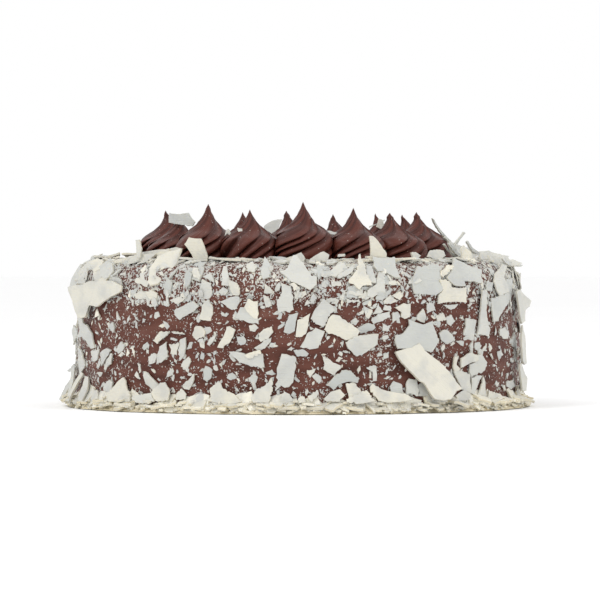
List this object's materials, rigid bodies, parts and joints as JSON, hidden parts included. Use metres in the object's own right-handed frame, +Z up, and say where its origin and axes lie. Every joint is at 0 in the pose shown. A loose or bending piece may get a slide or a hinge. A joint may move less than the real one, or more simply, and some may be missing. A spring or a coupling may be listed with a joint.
{
  "type": "round chocolate layer cake",
  "caption": "Round layer cake in chocolate icing, with a ring of piped chocolate swirls on top and white chocolate flakes on its side, top and foot.",
  "frame": {"origin": "middle of the flat base, on the surface that the cake stands on", "axes": "+Z up out of the top; the front of the cake, as pictured, faces -Y, with +X to its right"},
  "size_m": [0.2197, 0.2205, 0.0929],
  "materials": {
    "cake_icing": "smooth spread chocolate icing, satin, with fine white flecks",
    "piped_icing": "piped chocolate icing, soft sheen on the ridges",
    "white_chocolate": "broken white chocolate flakes, satin cream white"
  },
  "bodies": {
    "root": {"cake": "cake_icing", "swirl_01": "piped_icing", "swirl_02": "piped_icing", "swirl_03": "piped_icing", "swirl_04": "piped_icing", "swirl_05": "piped_icing", "swirl_06": "piped_icing", "swirl_07": "piped_icing", "swirl_08": "piped_icing", "swirl_09": "piped_icing", "swirl_10": "piped_icing", "swirl_11": "piped_icing", "swirl_12": "piped_icing", "swirl_13": "piped_icing", "swirl_14": "piped_icing", "swirl_15": "piped_icing", "swirl_16": "piped_icing"}
  },
  "joints": []
}
